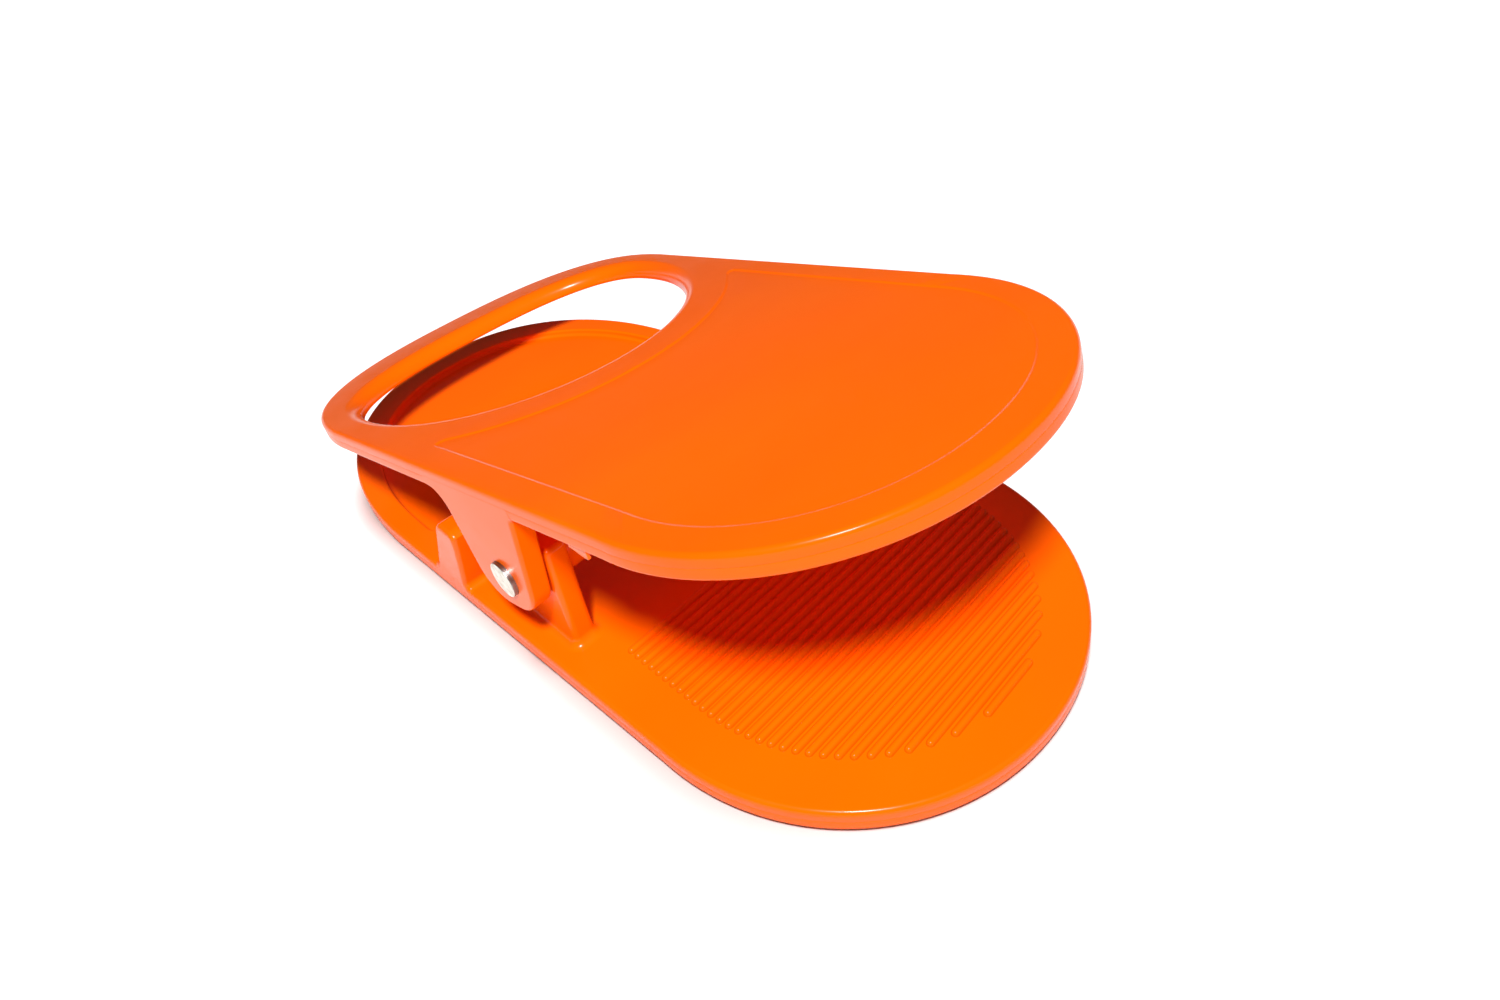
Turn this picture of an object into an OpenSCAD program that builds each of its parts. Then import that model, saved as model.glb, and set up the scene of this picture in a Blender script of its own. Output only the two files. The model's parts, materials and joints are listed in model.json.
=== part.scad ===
// Spring clamp: two wide plastic jaws that turn on one steel pin, with a torsion spring on the pin.
// +X points to the jaw tips, +Y across, +Z up. The origin is the middle of the lower jaw's flat underside.
// The jaws are drawn held open. Turning the upper jaw by a positive angle about +Y closes them.

/* [Lower jaw] */
// Overall length of the lower jaw
lower_len = 110; // [90:1:130]
// Thickness of both jaw plates
plate_t = 2.4; // [2:0.1:3]
// Width at the widest part of the thumb end
lower_rear_w = 52.5; // [48:0.5:56]
// Width at the widest part of the jaw end
lower_front_w = 49; // [46:0.5:54]
// Length of the rounded thumb end
lower_rear_round = 34.7; // [28:0.1:38]
// Length of the rounded jaw end
lower_front_round = 25; // [22:0.1:28]
// Depth of the thumb recess
recess_depth = 1; // [0.4:0.1:1.4]
// Rim left around the sides of the thumb recess
recess_side_rim = 3.1; // [2.5:0.1:5]
// Rim left behind the thumb recess
recess_end_rim = 4.9; // [3:0.1:7]
// Where the thumb recess stops, behind the middle of the jaw
recess_front = 14; // [13:0.5:24]

/* [Upper jaw] */
// Overall length of the upper jaw
upper_len = 99.4; // [92:0.1:101]
// Width across the finger loop
upper_rear_w = 53.4; // [50:0.1:56]
// Width at the widest part of the jaw end
upper_front_w = 48.2; // [45:0.1:52]
// Length of the rounded loop end
upper_rear_round = 21.5; // [18:0.1:26]
// Length of the rounded jaw end
upper_front_round = 23.2; // [20:0.1:26]
// Width of the loop's rear bar
loop_bar_w = 7.5; // [4.5:0.1:8]
// Width of the loop's sides
loop_side_w = 4.4; // [3:0.1:6]
// Length of the finger opening
opening_len = 39.6; // [36:0.1:42.5]
// Margin between the edge and the shallow panel in the outer face
panel_margin = 3.3; // [2.5:0.1:6]
// Margin between the finger opening and the panel
panel_rear_margin = 6.1; // [4:0.1:8]
// Depth of the panel
panel_depth = 0.2; // [0.1:0.1:0.6]

/* [Grip ribs] */
// Spacing of the ribs
rib_pitch = 1.067; // [1:0.001:1.2]
// Number of ribs on each jaw
rib_count = 30; // [20:1:30]
// Width of one rib
rib_w = 0.8; // [0.4:0.05:0.85]
// Height of one rib
rib_h = 0.45; // [0.2:0.05:0.5]
// Smooth band between the last rib and the jaw tip
rib_tip_gap = 4.3; // [3.5:0.1:6]
// Smooth band beside the ribs
rib_side_gap = 5; // [4:0.1:8]

/* [Hinge] */
// Diameter of the pivot pin
pin_d = 4; // [3:0.1:4.5]
// Height of the pin above the surface that the clamp rests on
pin_z = 12.2; // [11.5:0.1:13.5]
// Distance of the pin in front of the middle of the lower jaw
pin_x = 10.2; // [8:0.1:12]
// How far the pin's ends stand out of the ears
pin_proud = 0.5; // [0:0.1:1]
// Radial play of the pin in the lower jaw's cheeks
pin_play = 0.06; // [0.02:0.01:0.1]
// Distance from the pin's axis to the underside of the upper plate
upper_drop = 8.9; // [8.5:0.1:10]
// Distance along the upper plate from its own middle mark to the pin
upper_shift = 8.04; // [7:0.01:9]
// Angle between the two plates as drawn, held open
open_tilt = 12; // [4:0.5:18]
// Distance between the outer faces of the ears
ear_span = 50.2; // [49:0.1:50.4]
// Thickness of an ear
ear_t = 2.3; // [2:0.1:2.4]
// Thickness of a cheek
cheek_t = 2.6; // [2:0.05:3]
// Sideways gap between an ear and a cheek
side_gap = 0.45; // [0.3:0.05:0.6]
// Diameter of the sleeves round the pin, on the inner faces of the cheeks
boss_d = 6.2; // [6:0.1:6.6]
// Length of the sleeves
boss_len = 6; // [2:0.5:8]

/* [Spring] */
// Diameter of the spring wire
wire_d = 1.6; // [1:0.1:1.8]
// Mean diameter of the coil
coil_d = 7.4; // [6.6:0.1:8]
// Whole turns of the coil
coil_turns = 6; // [3:1:8]
// Spacing of the turns
coil_pitch = 1.7; // [1.7:0.05:2.2]

/* [Hidden] */
$fn = 64;

orange = [1.0, 0.42, 0.05];
steel = [0.78, 0.78, 0.8];

overlap = 0.4;        // how far shapes run into each other before they are joined
tail_back = 46.4;      // how far the upper plate's tail lies behind its middle mark
rear_share = 0.35;    // share of the finger opening behind its widest place
touch = 0.05;         // gap left where the spring rests on a jaw
end_points = 24;      // points along half of a rounded end

lower_tip = lower_len / 2;
lower_rear_x = -lower_tip + lower_rear_round;
lower_front_x = lower_tip - lower_front_round;
upper_tip = upper_len - tail_back;
upper_tail = upper_tip - upper_len;
upper_rear_x = upper_tail + upper_rear_round;
upper_front_x = upper_tip - upper_front_round;
opening_tail = upper_tail + loop_bar_w;
opening_w = upper_rear_w - 2 * loop_side_w;
opening_mid = opening_tail + opening_len * rear_share;
ear_y = ear_span / 2;
cheek_y = ear_y - ear_t - side_gap;
pin_len = ear_span + 2 * pin_proud;
ear_r = 4.1;          // round end of an ear
ear_heel = 1.9;       // how far the ear's round end is drawn out to the rear
ear_fillet = 3;       // sweep between an ear's rear edge and the plate
flush_y = 25.5;       // outer face of the gussets, flush with the plate's edge
wire_r = wire_d / 2;
coil_r = coil_d / 2;

// Powers of the superellipses that the plates' ends follow; 2 is a true ellipse
lower_rear_power = 2.16;
lower_front_power = 2.05;
upper_rear_power = 2.48;
upper_front_power = 2.06;
opening_rear_power = 2.5;
opening_front_power = 2;

panel_rear = -4;      // the panel starts here, beside the finger opening
least_rib = 0.02;     // keeps the square root for the rib's length above zero

// Cheek, beside the pin
cheek_ahead = 4.2;    // front edge ahead of the pin
cheek_above = 3.4;    // top edge above the pin
cheek_corner = 0.8;   // bevel on the top front corner
cheek_top_len = 9;    // length of the top edge with its bevel
gusset_foot_x = -9.4; // rear foot of a cheek and of its gusset
gusset_top_x = -0.8;  // front of the gusset's top
gusset_top_z = 12;    // height of the gusset

// Ear, where it meets the plate
root_rear = -6.6;     // behind the pin
root_front = 7.6;     // ahead of the pin
pin_chamfer = 0.25;

// One end of a plate: half of a superellipse, as points from the -Y side round to the +Y side
function half_round(x, reach, half_w, power) =
    [for (i = [-end_points : end_points])
        let (a = 90 * i / end_points, c = max(0, cos(a)), s = sin(a))
        [x + reach * pow(c, 2 / power), half_w * sign(s) * pow(abs(s), 2 / power)]];

function outline(rear_x, rear_reach, rear_half, rear_power, front_x, front_reach, front_half, front_power) =
    concat(half_round(front_x, front_reach, front_half, front_power),
           [for (p = half_round(0, rear_reach, rear_half, rear_power)) [rear_x - p.x, -p.y]]);

module lower_outline(inset = 0) {
    polygon(outline(lower_rear_x, lower_rear_round - inset, lower_rear_w / 2 - inset, lower_rear_power,
                    lower_front_x, lower_front_round - inset, lower_front_w / 2 - inset, lower_front_power));
}

module upper_outline(inset = 0) {
    polygon(outline(upper_rear_x, upper_rear_round - inset, upper_rear_w / 2 - inset, upper_rear_power,
                    upper_front_x, upper_front_round - inset, upper_front_w / 2 - inset, upper_front_power));
}

module opening_outline(grow = 0) {
    polygon(outline(opening_mid, opening_len * rear_share + grow, opening_w / 2 + grow, opening_rear_power,
                    opening_mid, opening_len * (1 - rear_share) + grow, opening_w / 2 + grow, opening_front_power));
}

// Ribs across a jaw, in the plane of its face, clipped to the round shape of the jaw end
module rib_rows(tip, front_w, front_reach) {
    last_x = tip - rib_tip_gap - rib_w / 2;
    linear_extrude(rib_h + overlap)
        for (i = [0 : rib_count - 1]) {
            x = last_x - i * rib_pitch;
            round_x = max(0, x - (tip - front_reach));
            reach = front_reach - rib_tip_gap;
            half = (front_w / 2 - rib_side_gap) * sqrt(max(least_rib, 1 - pow(round_x / reach, 2)));
            translate([x - rib_w / 2, -half]) square([rib_w, 2 * half]);
        }
}

// Draws its children as a flat plate standing along XZ, from y0 to y1
module upright(y0, y1) {
    translate([0, y1, 0]) rotate([90, 0, 0]) linear_extrude(y1 - y0) children();
}

// Draws its children on both sides of the clamp
module both_sides() {
    children();
    mirror([0, 1, 0]) children();
}

module cheek_profile() {
    front = pin_x + cheek_ahead;
    top = pin_z + cheek_above;
    foot = plate_t - overlap;
    polygon([[front, foot], [front, top - cheek_corner], [front - cheek_corner, top],
             [front - cheek_top_len, top], [gusset_top_x, gusset_top_z + 0.4],
             [gusset_top_x - 3.4, gusset_top_z], [gusset_foot_x, foot]]);
}

// The gusset: a slanted rear edge, a short level top and a steep front edge
module gusset_profile() {
    foot = plate_t - overlap;
    polygon([[gusset_foot_x, foot], [gusset_foot_x + 4.8, gusset_top_z - 1.1],
             [gusset_top_x - 3, gusset_top_z], [gusset_top_x, gusset_top_z],
             [gusset_top_x + 0.5, gusset_top_z - 0.6], [gusset_top_x + 0.1, gusset_top_z - 2.5],
             [gusset_top_x - 2.2, foot]]);
}

module thumb_recess() {
    rear = lower_rear_round - recess_end_rim;
    half = lower_rear_w / 2 - recess_side_rim;
    translate([0, 0, plate_t - recess_depth])
        linear_extrude(recess_depth + overlap)
            intersection() {
                polygon([for (p = half_round(0, rear, half, lower_rear_power)) [lower_rear_x - p.x, -p.y],
                         [-recess_front, -half], [-recess_front, half]]);
                translate([-lower_len, -lower_rear_w / 2]) square([lower_len - recess_front, lower_rear_w]);
            }
}

module lower_jaw() {
    color(orange)
        difference() {
            union() {
                linear_extrude(plate_t) lower_outline();
                translate([0, 0, plate_t - overlap])
                    rib_rows(lower_tip, lower_front_w, lower_front_round);
                both_sides() {
                    upright(cheek_y - cheek_t, cheek_y) cheek_profile();
                    upright(cheek_y - overlap, flush_y) gusset_profile();
                    upright(cheek_y - cheek_t - boss_len, cheek_y - overlap)
                        translate([pin_x, pin_z]) circle(d = boss_d);
                }
            }
            thumb_recess();
            translate([pin_x, 0, pin_z]) rotate([90, 0, 0])
                cylinder(r = pin_d / 2 + pin_play, h = lower_front_w, center = true);
        }
}

// Ear outline about the pin, in the upper jaw's own directions
module ear_profile() {
    root = upper_drop + overlap;
    hull() {
        circle(r = ear_r);
        translate([-ear_heel, 0]) circle(r = ear_r);
        polygon([[root_rear, root], [root_front, root], [root_front, upper_drop], [root_rear, upper_drop]]);
    }
    difference() {
        translate([root_rear - ear_fillet, upper_drop - ear_fillet]) square(ear_fillet + overlap);
        translate([root_rear - ear_fillet, upper_drop - ear_fillet]) circle(r = ear_fillet);
    }
}

module panel_outline() {
    difference() {
        intersection() {
            upper_outline(panel_margin);
            translate([panel_rear, -upper_rear_w / 2]) square([upper_len, upper_rear_w]);
        }
        opening_outline(panel_rear_margin);
    }
}

// The upper jaw about the pin, with its plate level
module upper_jaw_level() {
    difference() {
        union() {
            translate([-upper_shift, 0, upper_drop])
                linear_extrude(plate_t)
                    difference() {
                        upper_outline();
                        opening_outline();
                    }
            translate([-upper_shift, 0, upper_drop + overlap])
                mirror([0, 0, 1]) rib_rows(upper_tip, upper_front_w, upper_front_round);
            both_sides() upright(ear_y - ear_t, ear_y) ear_profile();
        }
        translate([-upper_shift, 0, upper_drop + plate_t - panel_depth])
            linear_extrude(panel_depth + overlap) panel_outline();
        rotate([90, 0, 0]) cylinder(d = pin_d, h = 2 * ear_span, center = true);
    }
}

module upper_jaw() {
    color(orange) translate([pin_x, 0, pin_z]) rotate([0, -open_tilt, 0]) upper_jaw_level();
}

module pivot_pin() {
    r = pin_d / 2;
    half = pin_len / 2;
    color(steel)
        translate([pin_x, 0, pin_z]) rotate([90, 0, 0])
            rotate_extrude()
                polygon([[0, -half], [r - pin_chamfer, -half], [r, -half + pin_chamfer],
                         [r, half - pin_chamfer], [r - pin_chamfer, half], [0, half]]);
}

// The spring's wire: a leg under the upper plate, the coil round the pin, and a leg on the lower plate.
// The slopes are in degrees from level, and the wire's path takes turn_steps points in each turn.
upper_leg_slope = 25;
lower_leg_slope = 14;
turn_steps = 20;
wire_sides = 8;
coil_len = coil_turns * coil_pitch + coil_pitch / 2;
swing_in = 90 - upper_leg_slope;
swing_out = -90 + lower_leg_slope - 360 * coil_turns;

function on_coil(a) = [coil_r * cos(a), coil_r * sin(a)];

upper_normal = [-sin(open_tilt), cos(open_tilt)];
upper_leg_dir = [-cos(upper_leg_slope), sin(upper_leg_slope)];
upper_leg_len = (upper_drop - wire_r - touch - on_coil(swing_in) * upper_normal) / (upper_leg_dir * upper_normal);
lower_leg_dir = [-cos(lower_leg_slope), -sin(lower_leg_slope)];
lower_leg_len = (pin_z + on_coil(swing_out).y - plate_t - wire_r - touch) / sin(lower_leg_slope);

function lift(p, y) = [pin_x + p.x, y, pin_z + p.y];

wire_path = concat(
    [lift(on_coil(swing_in) + upper_leg_len * upper_leg_dir, -coil_len / 2)],
    [for (i = [0 : turn_steps * coil_turns + turn_steps / 2])
        let (f = i / (turn_steps * coil_turns + turn_steps / 2))
        lift(on_coil(swing_in + f * (swing_out - swing_in)), (f - 0.5) * coil_len)],
    [lift(on_coil(swing_out) + lower_leg_len * lower_leg_dir, coil_len / 2)]);

function unit(v) = v / norm(v);

function wire_ring(path, i) =
    let (last = len(path) - 1,
         t = unit(path[min(i + 1, last)] - path[max(i - 1, 0)]),
         u = unit([0, 1, 0] - t.y * t),
         v = cross(t, u))
    [for (k = [0 : wire_sides - 1])
        path[i] + wire_r * (cos(360 * k / wire_sides) * u + sin(360 * k / wire_sides) * v)];

module wire(path) {
    rings = len(path);
    polyhedron(
        points = [for (i = [0 : rings - 1]) each wire_ring(path, i)],
        faces = concat(
            [[for (k = [0 : wire_sides - 1]) k]],
            [for (i = [0 : rings - 2], k = [0 : wire_sides - 1])
                let (a = i * wire_sides + k, b = i * wire_sides + (k + 1) % wire_sides)
                [a, a + wire_sides, b + wire_sides, b]],
            [[for (k = [wire_sides - 1 : -1 : 0]) (rings - 1) * wire_sides + k]]));
}

module torsion_spring() {
    color(steel) wire(wire_path);
}

lower_jaw();
upper_jaw();
pivot_pin();
torsion_spring();
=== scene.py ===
"""Spring clamp: the looks of the two moulded jaws, the pivot pin and the torsion spring.

Lengths in this file are millimetres until a mesh is finished; solid() turns them into metres.
The frame is the CAD's: +X to the jaw tips, +Y across, +Z up, origin under the middle of the lower jaw.
"""
import json
import math

import bmesh
import bpy
from mathutils import Matrix, Vector


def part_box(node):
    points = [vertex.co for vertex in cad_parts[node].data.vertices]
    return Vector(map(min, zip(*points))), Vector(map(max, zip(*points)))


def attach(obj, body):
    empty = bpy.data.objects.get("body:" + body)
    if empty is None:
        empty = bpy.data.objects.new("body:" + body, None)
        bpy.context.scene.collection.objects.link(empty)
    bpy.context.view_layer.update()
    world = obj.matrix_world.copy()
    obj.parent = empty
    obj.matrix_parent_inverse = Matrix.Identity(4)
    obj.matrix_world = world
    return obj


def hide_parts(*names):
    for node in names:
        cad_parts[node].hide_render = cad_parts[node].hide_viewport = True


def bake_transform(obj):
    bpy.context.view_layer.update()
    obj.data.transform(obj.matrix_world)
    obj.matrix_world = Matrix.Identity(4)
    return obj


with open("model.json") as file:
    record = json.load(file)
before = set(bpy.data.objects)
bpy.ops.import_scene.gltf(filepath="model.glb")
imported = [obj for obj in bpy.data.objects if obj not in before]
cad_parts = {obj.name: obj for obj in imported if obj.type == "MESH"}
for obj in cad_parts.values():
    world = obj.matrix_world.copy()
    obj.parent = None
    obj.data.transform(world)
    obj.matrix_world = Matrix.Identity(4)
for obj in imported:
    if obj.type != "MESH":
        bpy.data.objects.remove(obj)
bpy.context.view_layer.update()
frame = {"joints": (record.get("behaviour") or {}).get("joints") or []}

MM = 0.001

# ---------------------------------------------------------------- sizes taken from the frame
lower_low, lower_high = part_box("lower_jaw")
pin_low, pin_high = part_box("pivot_pin")
hinge = frame["joints"][0]

LOWER_TIP = lower_high.x / MM
LOWER_LEN = (lower_high.x - lower_low.x) / MM
LOWER_REAR_W = (lower_high.y - lower_low.y) / MM
PIN_X, PIN_Y, PIN_Z = [value / MM for value in hinge["pos_m"]]
PIN_D = (pin_high.z - pin_low.z) / MM
PIN_LEN = (pin_high.y - pin_low.y) / MM

# ---------------------------------------------------------------- sizes of the mouldings
PLATE_T = 2.4            # thickness of both plates
RIM_R = 0.5              # rounding of a plate's outward edge
UNDER_R = 0.4            # rounding of a plate's inward edge
SEAM_D = 0.05            # depth of the parting line round a plate's wall
SEAM_W = 0.12            # half the height of the parting line
PROUD = 0.03             # how far ears and gussets stand out of the plates' walls
SINK = 0.02              # how far shapes run past a face before they are joined or cut

LOWER_FRONT_W = 49.0
LOWER_REAR_ROUND = 34.7
LOWER_FRONT_ROUND = 25.0
LOWER_REAR_POWER = 2.16
LOWER_FRONT_POWER = 2.05
RECESS_D = 1.0
RECESS_SIDE_RIM = 3.1
RECESS_END_RIM = 4.9
RECESS_FRONT = -14.0
RECESS_CORNER_R = 4.0
RECESS_FLOOR_R = 0.5
RECESS_LIP_R = 0.35

UPPER_TIP = 53.0         # along the upper plate, from its own middle mark
UPPER_LEN = 99.4
UPPER_REAR_W = 53.4
UPPER_FRONT_W = 48.2
UPPER_REAR_ROUND = 21.5
UPPER_FRONT_ROUND = 23.2
UPPER_REAR_POWER = 2.48
UPPER_FRONT_POWER = 2.06
UPPER_DROP = 8.9         # pin axis to the underside of the upper plate
UPPER_SHIFT = 8.04       # the plate's middle mark to the pin
OPEN_TILT = 12.0         # angle between the plates as drawn
LOOP_BAR_W = 7.5         # the loop's rear bar
LOOP_SIDE_W = 4.4
OPENING_TAIL = UPPER_TIP - UPPER_LEN + LOOP_BAR_W
OPENING_LEN = 39.6
OPENING_W = UPPER_REAR_W - 2 * LOOP_SIDE_W
OPENING_REAR_SHARE = 0.35     # share of its length behind its widest place
OPENING_REAR_POWER = 2.5
OPENING_FRONT_POWER = 2.0
OPENING_R = 1.8
PANEL_D = 0.16
PANEL_MARGIN = 3.3
PANEL_REAR_MARGIN = 6.1
PANEL_REAR = -4.0
PANEL_CORNER_R = 3.0
PANEL_FLOOR_W = 0.25     # width of the panel's soft step at its floor
PANEL_LIP_W = 0.2        # and at the plate's face
PANEL_STEP_SHARE = 0.4   # share of both widths where the step changes slope
PANEL_STEP_LOW = 0.03    # heights of the step's corners above the panel's floor
PANEL_STEP_MID = 0.11
PANEL_STEP_HIGH = 0.12

RIB_PITCH = 1.067
RIB_COUNT = 30
RIB_W = 0.8
RIB_H = 0.45
RIB_TIP_GAP = 4.3
RIB_SIDE_GAP = 5.0
RIB_ROOT = 0.4           # how far a rib reaches into its plate
RIB_LEAST = 0.02         # keeps the square root for a rib's length above zero
RIB_SWEEP = 80.0         # degrees of a rib's rounded section; short of 90, it leaves a narrow flat top

EAR_R = 4.1
EAR_HEEL = 1.9
EAR_T = 2.3
EAR_ROOT_REAR = -6.6
EAR_ROOT_FRONT = 7.6
EAR_REAR_FILLET = 3.0
EAR_FRONT_FILLET = 0.8
EAR_INNER_R = 0.3

BOSS_R = 3.1
BOSS_LEN = 6.0
CHEEK_OUT = 22.35
CHEEK_T = 2.6
POST_R = 0.65
FOOT_R = 1.1
CHEEK_AHEAD = 4.2        # the cheek's front edge, ahead of the pin
CHEEK_ABOVE = 3.4        # its top, above the pin
CHEEK_TOP_LEN = 9.0
POST_BELOW_X = -10.4     # where the rear edges of cheek and gusset would reach the underside
GUSSET_TOP = 12.0
GUSSET_TOP_X = -0.8      # front of the gusset's top
GUSSET_ROOT = 0.6        # how far a gusset reaches into its cheek
BORE_PLAY = 0.06         # radial, where a cheek turns on the pin
BORE_SEAT = 0.02         # radial, where the ear holds the pin
BORE_REACH = 30.0        # half the length of the cutters for the bores

GATE_X = 17.0            # the moulding tongue, ahead of the pin
GATE_LEN = 2.4
GATE_D = 0.6
GATE_LEAST_D = 0.05
GATE_ROOT = 0.5          # how far it reaches up into the plate
GATE_INNER = 0.35        # its two faces, in from the plate's wall
GATE_OUTER = 0.05
GATE_STEPS = 6

PIN_EDGE = 0.12          # chamfer at the pin's ends
PIN_HUB_R = 0.3          # the innermost ring of a pin's face
END_FACING = 0.9         # faces of the pin that look along it by at least this much are its ends

WIRE_D = 1.6
COIL_D = 7.4
COIL_TURNS = 6
COIL_PITCH = 1.7
UPPER_LEG_SLOPE = 25.0
LOWER_LEG_SLOPE = 14.0
WIRE_SIDES = 14
LEG_STEPS = 8
TURN_STEPS = 32
LEG_GAP = 0.05           # left between a leg's end and the plate it presses on

KEY_AIM = (30.0, -5.0, PLATE_T)
KEY_SLOPE = (0.388, -0.395, 1.0)     # toward the key light, from the shadow's edge in the photo
KEY_DISTANCE = 150.0
KEY_SIZE = 24.0
KEY_STRENGTH = 16.0
FLOOR_LIGHT = 4.2
FLOOR_LIGHT_ANGLE = 20.0
FLOOR_LIGHT_HEIGHT = 500.0
ROOM_LIGHT = 0.07
FLOOR_SIZE = 2500.0
FLOOR_T = 10.0

CAMERA_PLACE = (0.07692, -0.04666, 0.07278)     # metres, as the camera was fitted to the photo
CAMERA_AZIMUTH = -50.886
CAMERA_DOWN = 32.554
CAMERA_ROLL = 10.393
CAMERA_LENS = 21.41
CAMERA_SHIFT = (0.01267, -0.0853)

END_STEPS = 36           # points along half of a rounded end
ARC_STEPS = 5            # segments of a small edge rounding
ROUND_STEPS = 48         # points round a bore or a sleeve
PIN_STEPS = 64
CAP_SHARES = (0.85, 0.6, 0.35, 0.1)     # rings of a plate's flat face, as shares of its outline
WELD = 2e-6              # metres
SHARP_ANGLE = 38.0


# ---------------------------------------------------------------- outlines
def half_round(reach, half_w, power):
    """Half of a superellipse, from the -Y side round the front to the +Y side."""
    points = []
    for i in range(-END_STEPS, END_STEPS + 1):
        angle = math.pi / 2 * i / END_STEPS
        side = math.sin(angle)
        across = math.copysign(abs(side) ** (2 / power), side)
        points.append(Vector((reach * max(0.0, math.cos(angle)) ** (2 / power), half_w * across)))
    return points


def outline(rear, front):
    """A closed outline from two rounded ends, each (x of its middle, reach, half width, power)."""
    points = [Vector((front[0] + p.x, p.y)) for p in half_round(*front[1:])]
    points += [Vector((rear[0] - p.x, -p.y)) for p in half_round(*rear[1:])]
    return distinct(points)


def distinct(points):
    return [p for i, p in enumerate(points) if (p - points[i - 1]).length > 1e-4]


def offset(points, distance):
    """Moves a closed anticlockwise outline outwards by a distance, inwards where it is negative."""
    moved = []
    for i, point in enumerate(points):
        ahead = (points[(i + 1) % len(points)] - point).normalized()
        behind = (point - points[i - 1]).normalized()
        normal_a = Vector((ahead.y, -ahead.x))
        normal_b = Vector((behind.y, -behind.x))
        normal = (normal_a + normal_b).normalized()
        moved.append(point + normal * distance / max(0.5, normal.dot(normal_a)))
    return moved


def round_corners(points, radius, least_turn=25.0):
    """Replaces each corner that turns by more than least_turn degrees with an arc."""
    result = []
    for i, corner in enumerate(points):
        to_last = points[i - 1] - corner
        to_next = points[(i + 1) % len(points)] - corner
        turn = math.pi - to_last.angle(to_next)
        if math.degrees(turn) < least_turn:
            result.append(corner)
            continue
        reach = min(radius * math.tan(turn / 2), 0.45 * to_last.length, 0.45 * to_next.length)
        start = corner + to_last.normalized() * reach
        inward = (to_last.normalized() + to_next.normalized()).normalized()
        centre = corner + inward * reach / math.sin(turn / 2)
        left = to_next.cross(to_last) > 0
        steps = max(2, round(math.degrees(turn) / 15))
        for k in range(steps + 1):
            angle = turn * k / steps * (1 if left else -1)
            result.append(centre + Matrix.Rotation(angle, 2) @ (start - centre))
    return distinct(result)


def quarter(radius, steps=ARC_STEPS):
    """(inset, depth) along a quarter round, from the flat face's edge to the wall."""
    angles = [math.pi / 2 * i / steps for i in range(steps + 1)]
    return [(radius * (1 - math.sin(a)), radius * (1 - math.cos(a))) for a in angles]


# ---------------------------------------------------------------- solids
def solid(name, rings):
    """A closed mesh from rings of points in millimetres, with a flat cap at each end."""
    mesh = bpy.data.meshes.new(name)
    bm = bmesh.new()
    rows = [[bm.verts.new(Vector(p) * MM) for p in ring] for ring in rings]
    for row, above in zip(rows, rows[1:]):
        for i in range(len(row)):
            j = (i + 1) % len(row)
            bm.faces.new((row[i], row[j], above[j], above[i]))
    bm.faces.new(list(reversed(rows[0])))
    bm.faces.new(rows[-1])
    bmesh.ops.recalc_face_normals(bm, faces=bm.faces)
    bm.to_mesh(mesh)
    bm.free()
    obj = bpy.data.objects.new(name, mesh)
    bpy.context.scene.collection.objects.link(obj)
    return obj


def level_rings(points, profile):
    """Rings of one outline at each (inset, height) of a profile."""
    return [[(p.x, p.y, height) for p in offset(points, -inset)] for inset, height in profile]


def plate(name, points, profile):
    """A plate whose two flat faces are built of rings that shrink towards the middle."""
    walls = level_rings(points, profile)
    middle = (max(p.x for p in points) + min(p.x for p in points)) / 2

    def shrunk(ring):
        return [[(middle + (x - middle) * f, y * f, z) for x, y, z in ring] for f in CAP_SHARES]

    return solid(name, list(reversed(shrunk(walls[0]))) + walls + shrunk(walls[-1]))


def joined(name, parts):
    """One mesh from several separate closed ones."""
    bm = bmesh.new()
    for part in parts:
        bm.from_mesh(part.data)
        bpy.data.objects.remove(part)
    mesh = bpy.data.meshes.new(name)
    bm.to_mesh(mesh)
    bm.free()
    obj = bpy.data.objects.new(name, mesh)
    bpy.context.scene.collection.objects.link(obj)
    return obj


def combine(base, parts, operation):
    """Joins parts to base, or cuts them from it, and keeps one mesh."""
    for part in parts:
        step = base.modifiers.new(part.name, "BOOLEAN")
        step.object = part
        step.operation = operation
        step.solver = "MANIFOLD"
    graph = bpy.context.evaluated_depsgraph_get()
    mesh = bpy.data.meshes.new_from_object(base.evaluated_get(graph))
    base.modifiers.clear()
    base.data = mesh
    for part in parts:
        bpy.data.objects.remove(part)
    return base


def finish_surface(obj, material):
    """Smooth shading that stays flat on the flat faces, and the material."""
    mesh = obj.data
    bm = bmesh.new()
    bm.from_mesh(mesh)
    bmesh.ops.remove_doubles(bm, verts=bm.verts, dist=WELD)
    bmesh.ops.dissolve_degenerate(bm, dist=WELD, edges=bm.edges)
    bm.to_mesh(mesh)
    bm.free()
    mesh.shade_smooth()
    mesh.set_sharp_from_angle(angle=math.radians(SHARP_ANGLE))
    normals = obj.modifiers.new("flat faces", "WEIGHTED_NORMAL")
    normals.keep_sharp = True
    mesh.materials.clear()
    mesh.materials.append(material)


def plate_profile(bottom_r, top_r):
    """(inset, height) up a plate's wall: a rounded edge, the parting line, a rounded edge."""
    bottom = quarter(bottom_r)
    middle = PLATE_T / 2
    seam = [(0, middle - SEAM_W), (SEAM_D, middle), (0, middle + SEAM_W)]
    top = [(inset, PLATE_T - depth) for inset, depth in reversed(quarter(top_r))]
    return bottom + seam + top


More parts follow.
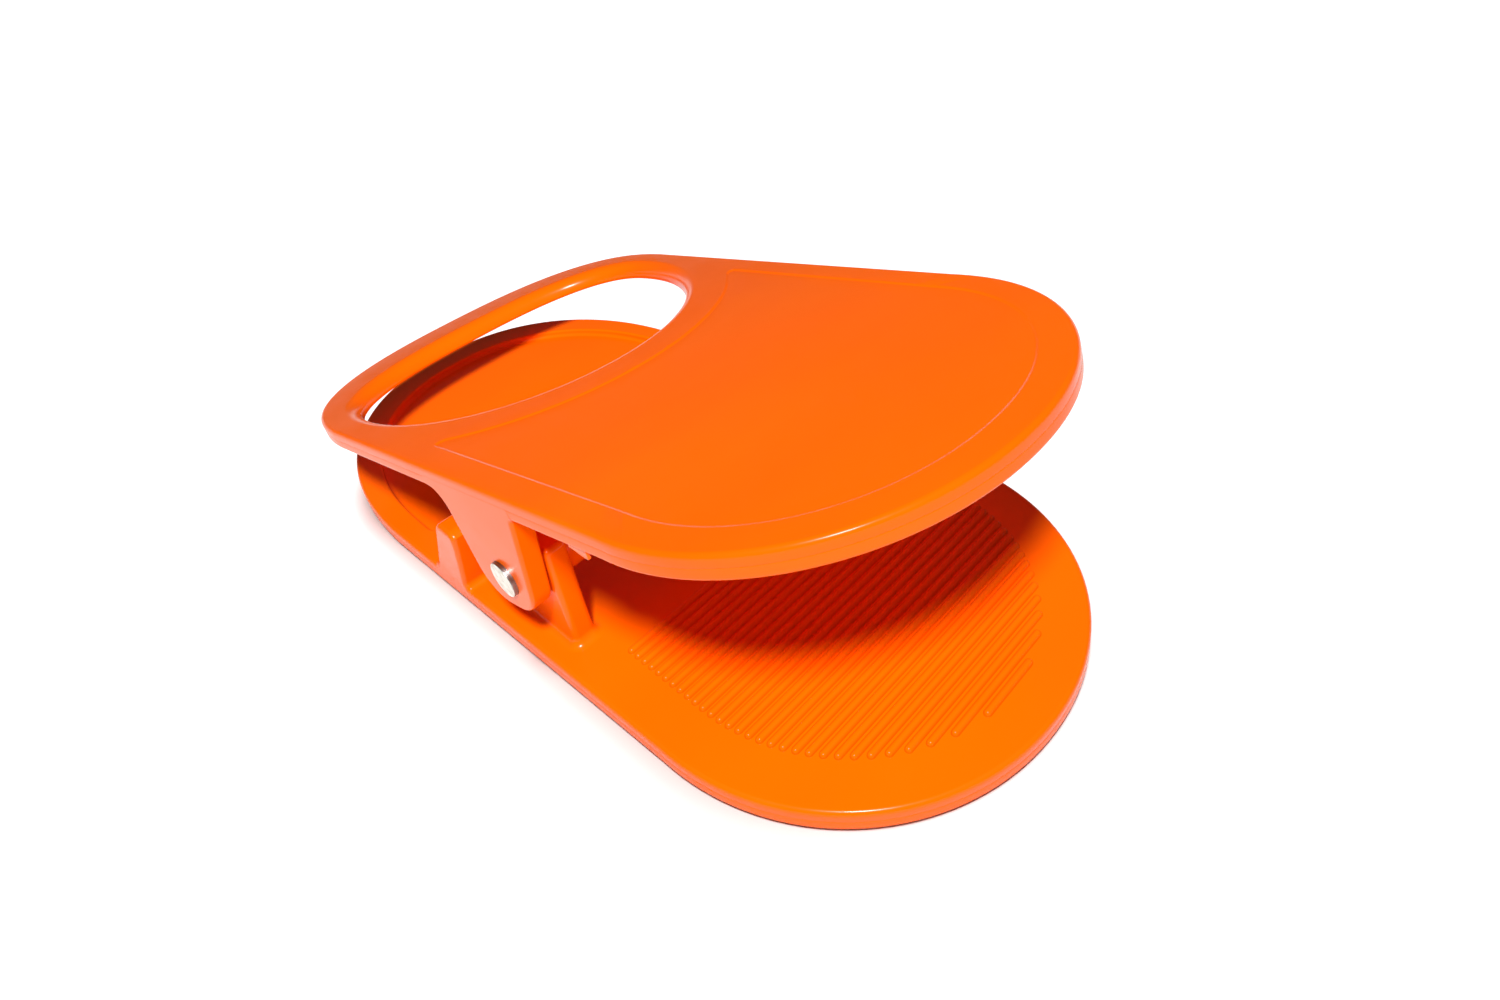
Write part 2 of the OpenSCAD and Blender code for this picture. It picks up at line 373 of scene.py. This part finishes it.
def lip_up(radius, top):
    """(outset, height) of a cutter that leaves a rounded lip where it comes out at the top."""
    angles = [math.pi / 2 * i / ARC_STEPS for i in range(ARC_STEPS + 1)]
    lip = [(radius - radius * math.cos(a), top - radius + radius * math.sin(a)) for a in angles]
    lip[-1] = (lip[-1][0], top + SINK)
    return lip + [(radius, top + 1)]


# ---------------------------------------------------------------- lower jaw
def lower_outline():
    rear_x = LOWER_TIP - LOWER_LEN + LOWER_REAR_ROUND
    rear = (rear_x, LOWER_REAR_ROUND, LOWER_REAR_W / 2, LOWER_REAR_POWER)
    front_x = LOWER_TIP - LOWER_FRONT_ROUND
    front = (front_x, LOWER_FRONT_ROUND, LOWER_FRONT_W / 2, LOWER_FRONT_POWER)
    return outline(rear, front)


def lower_wall(x):
    """Half the width of the lower plate along its straight sides."""
    rear_x = LOWER_TIP - LOWER_LEN + LOWER_REAR_ROUND
    front_x = LOWER_TIP - LOWER_FRONT_ROUND
    share = (x - rear_x) / (front_x - rear_x)
    return (LOWER_REAR_W + share * (LOWER_FRONT_W - LOWER_REAR_W)) / 2


def recess_cutter():
    middle = LOWER_TIP - LOWER_LEN + LOWER_REAR_ROUND
    half = LOWER_REAR_W / 2 - RECESS_SIDE_RIM
    rear = half_round(LOWER_REAR_ROUND - RECESS_END_RIM, half, LOWER_REAR_POWER)
    back = [Vector((middle - p.x, -p.y)) for p in rear]
    points = back + [Vector((RECESS_FRONT, -half)), Vector((RECESS_FRONT, half))]
    points = round_corners(points, RECESS_CORNER_R)
    floor = PLATE_T - RECESS_D
    profile = [(inset, floor + depth) for inset, depth in quarter(RECESS_FLOOR_R)]
    profile += [(-outset, height) for outset, height in lip_up(RECESS_LIP_R, PLATE_T)]
    return solid("recess", level_rings(points, profile))


def stadium(x, half_len, radius):
    """A narrow outline across the jaw with half-round ends."""
    steps = 8
    points = []
    for i in range(steps + 1):
        angle = math.pi * i / steps
        points.append((x + radius * math.cos(angle), half_len - radius + radius * math.sin(angle)))
    return points + [(2 * x - u, -v) for u, v in points]


def ridge(name, x, half_len, face_z, direction):
    """One rounded rib across a jaw's face; direction is 1 for a rib that stands up, -1 for one below."""
    steps = 5
    sections = [(RIB_W / 2, half_len, -RIB_ROOT)]
    for i in range(steps + 1):
        angle = math.radians(RIB_SWEEP) * i / steps
        radius = RIB_W / 2 * math.cos(angle)
        sections.append((radius, half_len - RIB_W / 2 + radius, RIB_H * math.sin(angle)))
    rings = []
    for radius, reach, height in sections:
        rings.append([(u, v, face_z + direction * height) for u, v in stadium(x, reach, radius)])
    return solid(name, rings)


def ribs(tip, front_w, front_round, face_z, direction):
    last = tip - RIB_TIP_GAP - RIB_W / 2
    made = []
    for i in range(RIB_COUNT):
        x = last - i * RIB_PITCH
        beyond = max(0.0, x - (tip - front_round)) / (front_round - RIB_TIP_GAP)
        half = (front_w / 2 - RIB_SIDE_GAP) * math.sqrt(max(RIB_LEAST, 1 - beyond ** 2))
        made.append(ridge(f"rib_{i:02d}", x, half, face_z, direction))
    return joined("ribs", made)


def along(corners, z):
    """x at height z on a line through (z, x) corners."""
    for (z0, x0), (z1, x1) in zip(corners, corners[1:]):
        if z <= z1:
            return x0 + (x1 - x0) * (z - z0) / (z1 - z0)
    return corners[-1][1]


def post(name, rear, front, inner, outer, side, top_z):
    """An upright wall of the lower jaw that sweeps into the plate at its foot.

    rear and front are (z, x) corners of its two sloping edges. outer is None where it is flush
    with the plate's wall.
    """
    levels = [PLATE_T + FOOT_R * (1 - math.cos(math.pi / 2 * i / ARC_STEPS)) for i in range(ARC_STEPS + 1)]
    corner_levels = sorted({z for z, _ in rear[1:] + front[1:] if levels[-1] < z < top_z - POST_R})
    levels += corner_levels
    levels += [top_z - depth for _, depth in reversed(quarter(POST_R))]
    rings = []
    for z in [PLATE_T / 2] + levels:
        rise = min(FOOT_R, max(0.0, z - PLATE_T))
        flare = FOOT_R - math.sqrt(FOOT_R ** 2 - (FOOT_R - rise) ** 2)
        if z > top_z - POST_R:
            lift = z - (top_z - POST_R)
            flare = math.sqrt(max(0.0, POST_R ** 2 - lift ** 2)) - POST_R
        x0 = along(rear, z)
        x1 = along(front, z)
        wall = lower_wall((x0 + x1) / 2) + PROUD
        reach = outer if outer is not None else wall
        box = [Vector((x0, inner)), Vector((x1, inner)), Vector((x1, reach)), Vector((x0, reach))]
        section = offset(round_corners(box, POST_R), flare)
        ring = []
        for p in section:
            limit = lower_wall(p.x) + PROUD
            y = min(p.y, limit)
            near_edge = max(0.0, y - (limit - RIM_R))
            drop = RIM_R - math.sqrt(max(0.0, RIM_R ** 2 - near_edge ** 2))
            ring.append((p.x, side * y, z - drop * (1 - rise / FOOT_R) * (z >= PLATE_T)))
        rings.append(ring)
    return solid(name, rings)


def cheek(side):
    """The upright plate beside the pin; its rear edge leans forward above the gusset's top."""
    top = PIN_Z + CHEEK_ABOVE
    front_x = PIN_X + CHEEK_AHEAD
    front = [(0, front_x), (top, front_x)]
    rear = [(0, POST_BELOW_X), (PLATE_T, -9.4), (GUSSET_TOP, -4.2), (GUSSET_TOP + 0.4, GUSSET_TOP_X)]
    rear.append((top, front_x - CHEEK_TOP_LEN))
    return post(f"cheek_{side}", rear, front, CHEEK_OUT - CHEEK_T, CHEEK_OUT, side, top)


def gusset(side):
    """The bracket that stands on a cheek's outer face, flush with the plate's edge."""
    top = GUSSET_TOP
    rear = [(0, POST_BELOW_X), (PLATE_T, -9.2), (top - 1.1, -4.6), (top, -3.8)]
    front = [(0, -3.6), (PLATE_T, -2.9), (top - 2.5, -0.7), (top - 0.6, -0.3), (top, GUSSET_TOP_X)]
    return post(f"gusset_{side}", rear, front, CHEEK_OUT - GUSSET_ROOT, None, side, top)


def crosswise_cylinder(name, x, z, radius, start, end):
    turns = [2 * math.pi * i / ROUND_STEPS for i in range(ROUND_STEPS)]
    ring = [(radius * math.cos(a), radius * math.sin(a)) for a in turns]
    return solid(name, [[(x + u, y, z + v) for u, v in ring] for y in (start, end)])


def boss(side):
    """The sleeve round the pin on the inner face of a cheek, with a rounded end."""
    inner = CHEEK_OUT - CHEEK_T - BOSS_LEN
    turns = [2 * math.pi * i / ROUND_STEPS for i in range(ROUND_STEPS)]
    profile = [(BOSS_R, CHEEK_OUT - CHEEK_T / 2)]
    profile += [(BOSS_R - inset, inner + depth) for inset, depth in reversed(quarter(UNDER_R))]
    rings = []
    for radius, y in profile:
        rings.append([(PIN_X + radius * math.cos(a), side * y, PIN_Z + radius * math.sin(a)) for a in turns])
    return solid(f"boss_{side}", rings)


def lower_jaw():
    jaw = plate("lower_jaw_moulding", lower_outline(), plate_profile(UNDER_R, RIM_R))
    combine(jaw, [recess_cutter()], "DIFFERENCE")
    walls = [make(side) for side in (-1, 1) for make in (cheek, gusset, boss)]
    combine(jaw, walls, "UNION")
    combine(jaw, [ribs(LOWER_TIP, LOWER_FRONT_W, LOWER_FRONT_ROUND, PLATE_T, 1)], "UNION")
    bore = crosswise_cylinder("bore", PIN_X, PIN_Z, PIN_D / 2 + BORE_PLAY, -BORE_REACH, BORE_REACH)
    combine(jaw, [bore], "DIFFERENCE")
    return jaw


# ---------------------------------------------------------------- upper jaw, level, about the pin
def upper_outline():
    rear_x = UPPER_TIP - UPPER_LEN + UPPER_REAR_ROUND
    rear = (rear_x - UPPER_SHIFT, UPPER_REAR_ROUND, UPPER_REAR_W / 2, UPPER_REAR_POWER)
    front_x = UPPER_TIP - UPPER_FRONT_ROUND
    front = (front_x - UPPER_SHIFT, UPPER_FRONT_ROUND, UPPER_FRONT_W / 2, UPPER_FRONT_POWER)
    return outline(rear, front)


def upper_wall(x):
    """Half the width of the upper plate along its straight sides."""
    rear_x = UPPER_TIP - UPPER_LEN + UPPER_REAR_ROUND - UPPER_SHIFT
    front_x = UPPER_TIP - UPPER_FRONT_ROUND - UPPER_SHIFT
    share = (x - rear_x) / (front_x - rear_x)
    return (UPPER_REAR_W + share * (UPPER_FRONT_W - UPPER_REAR_W)) / 2


def opening_outline():
    middle = OPENING_TAIL + OPENING_LEN * OPENING_REAR_SHARE - UPPER_SHIFT
    rear = (middle, OPENING_LEN * OPENING_REAR_SHARE, OPENING_W / 2, OPENING_REAR_POWER)
    front = (middle, OPENING_LEN * (1 - OPENING_REAR_SHARE), OPENING_W / 2, OPENING_FRONT_POWER)
    return outline(rear, front)


def opening_cutter():
    top = UPPER_DROP + PLATE_T
    up = [(-outset, UPPER_DROP + height) for outset, height in lip_up(OPENING_R, PLATE_T)]
    down = [(-outset, top - height) for outset, height in reversed(lip_up(UNDER_R, PLATE_T))]
    return solid("finger_opening", level_rings(opening_outline(), down + up))


def panel_cutter():
    rear_x = PANEL_REAR - UPPER_SHIFT
    edge = [p for p in offset(upper_outline(), -PANEL_MARGIN) if p.x > rear_x]
    arc = [p for p in offset(opening_outline(), PANEL_REAR_MARGIN) if p.x > rear_x]
    corner = upper_wall(rear_x) - PANEL_MARGIN
    points = edge + [Vector((rear_x, corner))] + list(reversed(arc)) + [Vector((rear_x, -corner))]
    points = round_corners(points, PANEL_CORNER_R)
    floor = UPPER_DROP + PLATE_T - PANEL_D
    face = floor + PANEL_D
    profile = [
        (PANEL_FLOOR_W, floor),
        (PANEL_STEP_SHARE * PANEL_FLOOR_W, floor + PANEL_STEP_LOW),
        (0, floor + PANEL_STEP_MID),
        (-PANEL_STEP_SHARE * PANEL_LIP_W, floor + PANEL_STEP_HIGH),
        (-PANEL_LIP_W, face + SINK),
        (-PANEL_LIP_W, face + 1),
    ]
    return solid("panel", level_rings(points, profile))


def tangent_angle(point, middle, radius, turn):
    away = point - middle
    return math.atan2(away.y, away.x) + turn * math.acos(radius / away.length)


def ear_outline():
    """The ear's side view as (x, height) points round the pin, with its root inside the plate."""
    top = UPPER_DROP + PLATE_T / 2 + UNDER_R
    root = UPPER_DROP + SINK
    front_root = Vector((EAR_ROOT_FRONT, root))
    rear_root = Vector((EAR_ROOT_REAR, root))
    heel = Vector((-EAR_HEEL, 0))
    first = tangent_angle(rear_root, heel, EAR_R, 1)
    last = tangent_angle(front_root, Vector((0, 0)), EAR_R, -1)
    bottom = -math.pi / 2
    heel_arc = [first + (bottom + 2 * math.pi - first) * i / 12 for i in range(13)]
    nose_arc = [bottom + (last - bottom) * i / 10 for i in range(11)]
    points = [heel + EAR_R * Vector((math.cos(a), math.sin(a))) for a in heel_arc]
    points += [EAR_R * Vector((math.cos(a), math.sin(a))) for a in nose_arc]
    points += fillet(front_root, points[-1], EAR_FRONT_FILLET, 1)
    points += [Vector((points[-1].x, top))]
    rear = fillet(rear_root, points[0], EAR_REAR_FILLET, -1)
    points += [Vector((rear[-1].x, top))] + list(reversed(rear))
    return distinct(points)


def fillet(corner, lower, radius, side):
    """A concave curve between an ear's edge and the plate, from the edge out along the plate."""
    down = (lower - corner).normalized()
    out = Vector((side, 0))
    reach = radius / math.tan(down.angle(out) / 2)
    start = corner + down * reach
    end = corner + out * reach
    points = []
    for i in range(9):
        f = i / 8
        points.append(start * (1 - f) ** 2 + corner * 2 * f * (1 - f) + end * f ** 2)
    return points


def ear(side):
    rounds = quarter(UNDER_R)
    inner = [(inset, EAR_T - depth) for inset, depth in reversed(quarter(EAR_INNER_R))]
    rings = []
    for inset, depth in rounds + inner:
        points = offset(ear_outline(), -inset)
        rings.append([(p.x, side * (upper_wall(p.x) + PROUD - depth), p.y) for p in points])
    return solid(f"ear_{side}", rings)


def gate_mark():
    """The thin leftover tongue of plastic under the plate's near edge."""
    rings = []
    for i in range(GATE_STEPS + 1):
        f = i / GATE_STEPS
        x = GATE_X + GATE_LEN * f
        low = UPPER_DROP - GATE_LEAST_D - GATE_D * math.sin(math.pi / 2 * f) ** 1.5
        high = UPPER_DROP + GATE_ROOT
        inner = GATE_INNER - upper_wall(x)
        outer = GATE_OUTER - upper_wall(x)
        rings.append([(x, inner, high), (x, inner, low), (x, outer, low), (x, outer, high)])
    return solid("gate_mark", rings)


def upper_jaw():
    profile = [(inset, UPPER_DROP + height) for inset, height in plate_profile(UNDER_R, RIM_R)]
    jaw = plate("upper_jaw_moulding", upper_outline(), profile)
    combine(jaw, [opening_cutter(), panel_cutter()], "DIFFERENCE")
    combine(jaw, [ear(-1), ear(1), gate_mark()], "UNION")
    tip = UPPER_TIP - UPPER_SHIFT
    combine(jaw, [ribs(tip, UPPER_FRONT_W, UPPER_FRONT_ROUND, UPPER_DROP, -1)], "UNION")
    bore = crosswise_cylinder("bore", 0, 0, PIN_D / 2 + BORE_SEAT, -BORE_REACH, BORE_REACH)
    combine(jaw, [bore], "DIFFERENCE")
    tilt = Matrix.Rotation(math.radians(-OPEN_TILT), 4, "Y")
    jaw.data.transform(Matrix.Translation(Vector(hinge["pos_m"])) @ tilt)
    return jaw


# ---------------------------------------------------------------- pin and spring
def pivot_pin():
    """The pin, cropped from bar: a flat face with a small chamfer at each end."""
    half = PIN_LEN / 2
    radius = PIN_D / 2
    profile = [(PIN_HUB_R, half), (radius * 0.5, half), (radius - PIN_EDGE, half),
               (radius - PIN_EDGE * 0.3, half - PIN_EDGE * 0.3), (radius, half - PIN_EDGE)]
    stations = [(r, -y) for r, y in profile] + [(radius, 0)] + [(r, y) for r, y in reversed(profile)]
    angles = [2 * math.pi * i / PIN_STEPS for i in range(PIN_STEPS)]
    rings = []
    for r, y in stations:
        rings.append([(PIN_X + r * math.cos(a), PIN_Y + y, PIN_Z + r * math.sin(a)) for a in angles])
    return solid("pivot_pin_turned", rings)


def sweep(name, path, radius):
    """A round wire along a path, with domed ends."""
    rings = []
    count = len(path)
    for i, point in enumerate(path):
        ahead = (path[min(i + 1, count - 1)] - path[max(i - 1, 0)]).normalized()
        u = (Vector((0, 1, 0)) - ahead.y * ahead).normalized()
        v = ahead.cross(u)
        angles = [2 * math.pi * k / WIRE_SIDES for k in range(WIRE_SIDES)]
        rings.append([point + radius * (math.cos(a) * u + math.sin(a) * v) for a in angles])
    for end, step in ((0, 1), (-1, -1)):
        middle = path[end]
        out = (middle - path[end + step]).normalized()
        domes = []
        for inset, height in [(0.12, 0.1), (0.4, 0.22)]:
            ring = [middle + (p - middle) * (1 - inset) + out * height * radius for p in rings[end]]
            domes.append(ring)
        rings = list(reversed(domes)) + rings if end == 0 else rings + domes
    return solid(name, rings)


def coil_point(angle):
    return Vector((COIL_D / 2 * math.cos(angle), COIL_D / 2 * math.sin(angle)))


def torsion_spring():
    """A leg under the upper plate, the coil round the pin, and a leg on the lower plate."""
    wire_r = WIRE_D / 2
    tilt = math.radians(OPEN_TILT)
    upper_slope = math.radians(UPPER_LEG_SLOPE)
    lower_slope = math.radians(LOWER_LEG_SLOPE)
    swing_in = math.pi / 2 - upper_slope
    swing_out = -math.pi / 2 + lower_slope - 2 * math.pi * COIL_TURNS
    length = COIL_TURNS * COIL_PITCH + COIL_PITCH / 2

    normal = Vector((-math.sin(tilt), math.cos(tilt)))
    upper_way = Vector((-math.cos(upper_slope), math.sin(upper_slope)))
    rise = UPPER_DROP - wire_r - LEG_GAP - coil_point(swing_in).dot(normal)
    upper_leg = rise / upper_way.dot(normal)
    lower_way = Vector((-math.cos(lower_slope), -math.sin(lower_slope)))
    fall = PIN_Z + coil_point(swing_out).y - PLATE_T - wire_r - LEG_GAP
    lower_leg = fall / math.sin(lower_slope)

    def lift(p, y):
        return Vector((PIN_X + p.x, y, PIN_Z + p.y))

    path = []
    for i in range(LEG_STEPS):
        reach = upper_leg * (1 - i / LEG_STEPS)
        path.append(lift(coil_point(swing_in) + reach * upper_way, -length / 2))
    turns = TURN_STEPS * COIL_TURNS + TURN_STEPS // 2
    for i in range(turns + 1):
        f = i / turns
        path.append(lift(coil_point(swing_in + f * (swing_out - swing_in)), (f - 0.5) * length))
    for i in range(1, LEG_STEPS + 1):
        path.append(lift(coil_point(swing_out) + lower_leg * i / LEG_STEPS * lower_way, length / 2))
    spring = sweep("torsion_spring_wire", path, wire_r)
    return spring, length


# ---------------------------------------------------------------- materials
def new_material(name):
    material = bpy.data.materials.new(name)
    material.use_nodes = True
    nodes = material.node_tree.nodes
    nodes.clear()
    shader = nodes.new("ShaderNodeBsdfPrincipled")
    output = nodes.new("ShaderNodeOutputMaterial")
    material.node_tree.links.new(shader.outputs["BSDF"], output.inputs["Surface"])
    return material, shader


def noise(material, scale, detail=2.0, stretch=None):
    """Noise in object space; scale is in cycles per metre."""
    nodes = material.node_tree.nodes
    links = material.node_tree.links
    place = nodes.new("ShaderNodeTexCoord")
    texture = nodes.new("ShaderNodeTexNoise")
    texture.inputs["Scale"].default_value = scale
    texture.inputs["Detail"].default_value = detail
    source = place.outputs["Object"]
    if stretch:
        mapping = nodes.new("ShaderNodeMapping")
        mapping.inputs["Scale"].default_value = stretch
        links.new(source, mapping.inputs["Vector"])
        source = mapping.outputs["Vector"]
    links.new(source, texture.inputs["Vector"])
    return texture.outputs["Fac"]


def ramp(material, source, stops):
    """A colour or grey ramp; stops are (place, colour)."""
    nodes = material.node_tree.nodes
    node = nodes.new("ShaderNodeValToRGB")
    for element, (place, colour) in zip(node.color_ramp.elements, (stops[0], stops[-1])):
        element.position = place
        element.color = (*colour, 1)
    for place, colour in stops[1:-1]:
        element = node.color_ramp.elements.new(place)
        element.color = (*colour, 1)
    material.node_tree.links.new(source, node.inputs["Fac"])
    return node.outputs["Color"]


def grey(value):
    return (value, value, value)


def bump(material, source, distance, strength, below=None):
    node = material.node_tree.nodes.new("ShaderNodeBump")
    node.inputs["Distance"].default_value = distance
    node.inputs["Strength"].default_value = strength
    material.node_tree.links.new(source, node.inputs["Height"])
    if below:
        material.node_tree.links.new(below, node.inputs["Normal"])
    return node.outputs["Normal"]


def orange_plastic():
    """Glossy moulded plastic: faint flow marks, a slightly uneven gloss and a fine grain."""
    material, shader = new_material("orange_moulded_plastic")
    links = material.node_tree.links
    flow = noise(material, 70, 3, (1, 0.45, 1))
    colour = ramp(material, flow, [(0.3, (0.96, 0.118, 0.0)), (0.7, (0.98, 0.132, 0.0))])
    links.new(colour, shader.inputs["Base Color"])
    gloss = ramp(material, noise(material, 420, 4), [(0.3, grey(0.17)), (0.7, grey(0.25))])
    links.new(gloss, shader.inputs["Roughness"])
    waves = bump(material, noise(material, 110, 1), 0.0003, 0.1)
    grain = bump(material, noise(material, 1500, 1), 0.00001, 0.25, waves)
    links.new(grain, shader.inputs["Normal"])
    shader.inputs["IOR"].default_value = 1.45
    shader.inputs["Specular IOR Level"].default_value = 0.2
    return material


def drawn_steel():
    """The pin's side: drawn steel with fine lines round it."""
    material, shader = new_material("drawn_pin_steel")
    links = material.node_tree.links
    lines = noise(material, 700, 4, (1, 8, 1))
    links.new(ramp(material, lines, [(0.3, grey(0.24)), (0.7, grey(0.32))]), shader.inputs["Base Color"])
    links.new(ramp(material, lines, [(0.3, grey(0.3)), (0.7, grey(0.4))]), shader.inputs["Roughness"])
    links.new(bump(material, lines, 0.00001, 0.3), shader.inputs["Normal"])
    shader.inputs["Metallic"].default_value = 1.0
    return material


def cut_steel():
    """The pin's cropped ends: pale, with fine darker marks from the cut."""
    material, shader = new_material("cut_pin_steel")
    links = material.node_tree.links
    marks = noise(material, 1300, 5)
    stops = [(0.36, (0.7, 0.68, 0.6)), (0.5, (0.84, 0.82, 0.75)), (0.66, (0.92, 0.9, 0.84))]
    links.new(ramp(material, marks, stops), shader.inputs["Base Color"])
    links.new(ramp(material, marks, [(0.3, grey(0.75)), (0.7, grey(0.6))]), shader.inputs["Roughness"])
    links.new(bump(material, noise(material, 2400, 4), 0.00005, 0.6), shader.inputs["Normal"])
    shader.inputs["Metallic"].default_value = 1.0
    return material


def spring_steel():
    """Drawn spring wire: darker, with fine lines."""
    material, shader = new_material("drawn_spring_steel")
    links = material.node_tree.links
    marks = noise(material, 900, 4, (1, 6, 1))
    colour = ramp(material, marks, [(0.3, (0.36, 0.36, 0.37)), (0.7, (0.62, 0.62, 0.63))])
    links.new(colour, shader.inputs["Base Color"])
    links.new(ramp(material, marks, [(0.3, grey(0.26)), (0.7, grey(0.4))]), shader.inputs["Roughness"])
    links.new(bump(material, marks, 0.00002, 0.4), shader.inputs["Normal"])
    shader.inputs["Metallic"].default_value = 1.0
    return material


def floor_material():
    material, shader = new_material("pale_floor")
    colour = ramp(material, noise(material, 6, 3), [(0.3, grey(0.9)), (0.7, grey(0.93))])
    material.node_tree.links.new(colour, shader.inputs["Base Color"])
    shader.inputs["Roughness"].default_value = 0.9
    return material


# ---------------------------------------------------------------- stage, light and camera
def make_floor():
    size = FLOOR_SIZE
    ring = [(-size, -size), (size, -size), (size, size), (-size, size)]
    floor = solid("floor", [[(x, y, z) for x, y in ring] for z in (-FLOOR_T, 0.0)])
    floor.data.materials.append(floor_material())
    return floor


def add_light(name, kind, place, aim):
    """A light at a place in millimetres that shines at another."""
    light = bpy.data.lights.new(name, kind)
    obj = bpy.data.objects.new(name, light)
    obj.location = Vector(place) * MM
    obj.rotation_euler = (Vector(aim) - Vector(place)).to_track_quat("-Z", "Y").to_euler()
    bpy.context.scene.collection.objects.link(obj)
    return obj


def light_only(light, collection_name, floor, state):
    """Lets a light reach the floor alone (INCLUDE), or everything but the floor (EXCLUDE)."""
    receivers = bpy.data.collections.new(collection_name)
    receivers.objects.link(floor)
    receivers.collection_objects[0].light_linking.link_state = state
    light.light_linking.receiver_collection = receivers


def make_key():
    """A small round softbox above the camera that doesn't fade with distance."""
    aim = Vector(KEY_AIM)
    key = add_light("key", "AREA", aim + KEY_DISTANCE * Vector(KEY_SLOPE), aim)
    key.data.shape = "DISK"
    key.data.size = KEY_SIZE * MM
    key.data.energy = 1.0
    key.data.use_nodes = True
    nodes = key.data.node_tree.nodes
    falloff = nodes.new("ShaderNodeLightFalloff")
    falloff.inputs["Strength"].default_value = KEY_STRENGTH
    strength = nodes["Emission"].inputs["Strength"]
    key.data.node_tree.links.new(falloff.outputs["Constant"], strength)
    return key


def make_light(floor):
    """A dim white room, the softbox for the clamp, and an even light for the floor alone."""
    world = bpy.data.worlds.new("soft_studio")
    world.use_nodes = True
    background = world.node_tree.nodes["Background"]
    background.inputs["Color"].default_value = (1, 1, 1, 1)
    background.inputs["Strength"].default_value = ROOM_LIGHT
    bpy.context.scene.world = world

    even = add_light("floor_light", "SUN", (0, 0, FLOOR_LIGHT_HEIGHT), (0, 0, 0))
    even.data.energy = FLOOR_LIGHT
    even.data.angle = math.radians(FLOOR_LIGHT_ANGLE)
    light_only(even, "lit_by_floor_light", floor, "INCLUDE")
    light_only(make_key(), "not_lit_by_key", floor, "EXCLUDE")
    bpy.context.scene.view_settings.view_transform = "Standard"


def make_camera():
    camera = bpy.data.cameras.new("camera")
    camera.sensor_width = 36.0
    camera.lens = CAMERA_LENS
    camera.shift_x, camera.shift_y = CAMERA_SHIFT
    camera.clip_start = 0.005
    obj = bpy.data.objects.new("camera", camera)
    azimuth = math.radians(CAMERA_AZIMUTH)
    down = math.radians(CAMERA_DOWN)
    flat = math.cos(down)
    forward = Vector((math.sin(azimuth) * flat, math.cos(azimuth) * flat, -math.sin(down)))
    level = forward.cross(Vector((0, 0, 1))).normalized()
    right = Matrix.Rotation(math.radians(CAMERA_ROLL), 3, forward) @ level
    up = right.cross(forward)
    turn = Matrix((right, up, -forward)).transposed()
    obj.matrix_world = Matrix.Translation(CAMERA_PLACE) @ turn.to_4x4()
    bpy.context.scene.collection.objects.link(obj)
    bpy.context.scene.camera = obj


# ---------------------------------------------------------------- the pieces on their bodies
plastic = orange_plastic()

lower = lower_jaw()
finish_surface(lower, plastic)
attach(lower, "lower")
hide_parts("lower_jaw")

upper = upper_jaw()
finish_surface(upper, plastic)
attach(upper, "upper")
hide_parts("upper_jaw")

pin = pivot_pin()
finish_surface(pin, drawn_steel())
pin.data.materials.append(cut_steel())
for face in pin.data.polygons:
    face.material_index = int(abs(face.normal.y) > END_FACING)
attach(pin, "upper")
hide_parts("pivot_pin")

spring, coil_length = torsion_spring()
finish_surface(spring, spring_steel())
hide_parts("torsion_spring")
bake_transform(spring)

make_light(make_floor())
make_camera()
